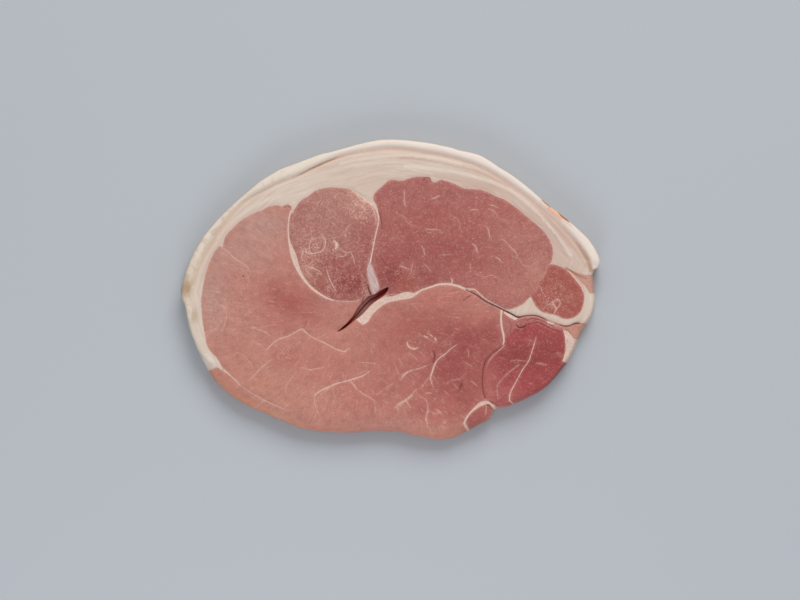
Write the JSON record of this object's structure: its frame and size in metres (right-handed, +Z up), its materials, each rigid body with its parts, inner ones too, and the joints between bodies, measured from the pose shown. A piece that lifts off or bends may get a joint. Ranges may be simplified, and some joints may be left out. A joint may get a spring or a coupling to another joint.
{
  "type": "gammon steak",
  "caption": "Thick oval slice across a boned cured leg of pork, with a curved rind and fat cap, muscle seams and a narrow bone slit.",
  "frame": {"origin": "middle of the rest face, under the middle of the slice's bounding box", "axes": "+X along the slice's long axis towards the rind tip, +Y towards the rind and fat cap, +Z up out of the upper cut face"},
  "size_m": [0.2096, 0.1502, 0.0132],
  "materials": {
    "cured_meat": "moist cut face: rose-pink to deep red lean with cream seams, cream-white fat cap, paler rind with a thin tan line; soft satin sheen"
  },
  "bodies": {
    "root": {"gammon_steak": "cured_meat"}
  },
  "joints": []
}
